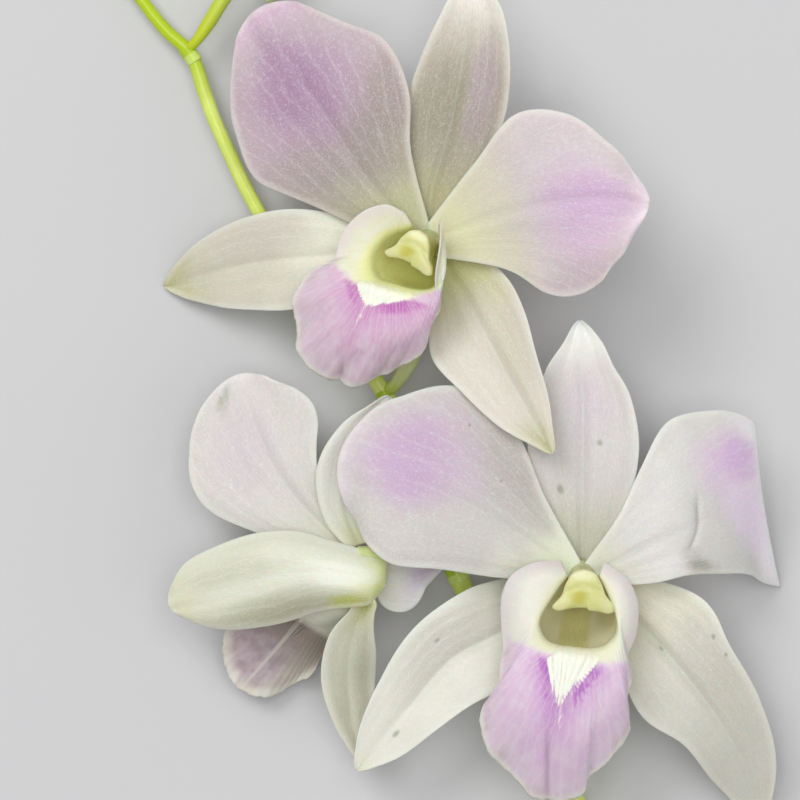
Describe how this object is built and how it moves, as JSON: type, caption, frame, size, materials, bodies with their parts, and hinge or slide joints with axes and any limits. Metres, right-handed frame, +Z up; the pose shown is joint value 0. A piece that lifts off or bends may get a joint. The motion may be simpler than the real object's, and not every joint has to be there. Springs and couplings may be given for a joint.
{
  "type": "dendrobium orchid spray",
  "caption": "Cut orchid spray lying on its side: arching flower stem with open blooms of petals, sepals, a ruffled lip and a column, and closed buds towards its tip.",
  "frame": {"origin": "middle of the footprint's bounding box, on the surface that the spray lies on", "axes": "+Y along the flower stem from its cut end towards the buds, +Z up from the surface"},
  "size_m": [0.1298, 0.2136, 0.0334],
  "materials": {
    "sepal": "soft pearly sheen, white with a green tip",
    "petal": "soft pearly sheen, white at the margin with a pale lilac middle",
    "lip": "soft sheen, lilac with a cream throat",
    "column": "waxy, pale yellow",
    "pedicel": "waxy, yellow-green",
    "stem": "waxy, bright green",
    "bud": "waxy, pale green"
  },
  "bodies": {
    "root": {"rachis": "stem", "lower_bloom_dorsal_sepal": "sepal", "lower_bloom_petal_left": "petal", "lower_bloom_petal_right": "petal", "lower_bloom_lateral_sepal_left": "sepal", "lower_bloom_lateral_sepal_right": "sepal", "upper_bloom_dorsal_sepal": "sepal", "upper_bloom_petal_left": "petal", "upper_bloom_petal_right": "petal", "upper_bloom_lateral_sepal_left": "sepal", "upper_bloom_lateral_sepal_right": "sepal", "side_bloom_dorsal_sepal": "sepal", "side_bloom_petal_left": "petal", "side_bloom_petal_right": "petal", "side_bloom_lateral_sepal_near": "sepal", "side_bloom_lateral_sepal_far": "sepal", "lower_bloom_pedicel": "pedicel", "side_bloom_pedicel": "pedicel", "upper_bloom_pedicel": "pedicel", "lower_bloom_lip": "lip", "lower_bloom_column": "column", "upper_bloom_lip": "lip", "upper_bloom_column": "column", "side_bloom_lip": "lip", "side_bloom_column": "column", "bud_large": "bud", "bud_middle": "bud", "bud_tip": "bud", "bud_small": "bud"}
  },
  "joints": []
}
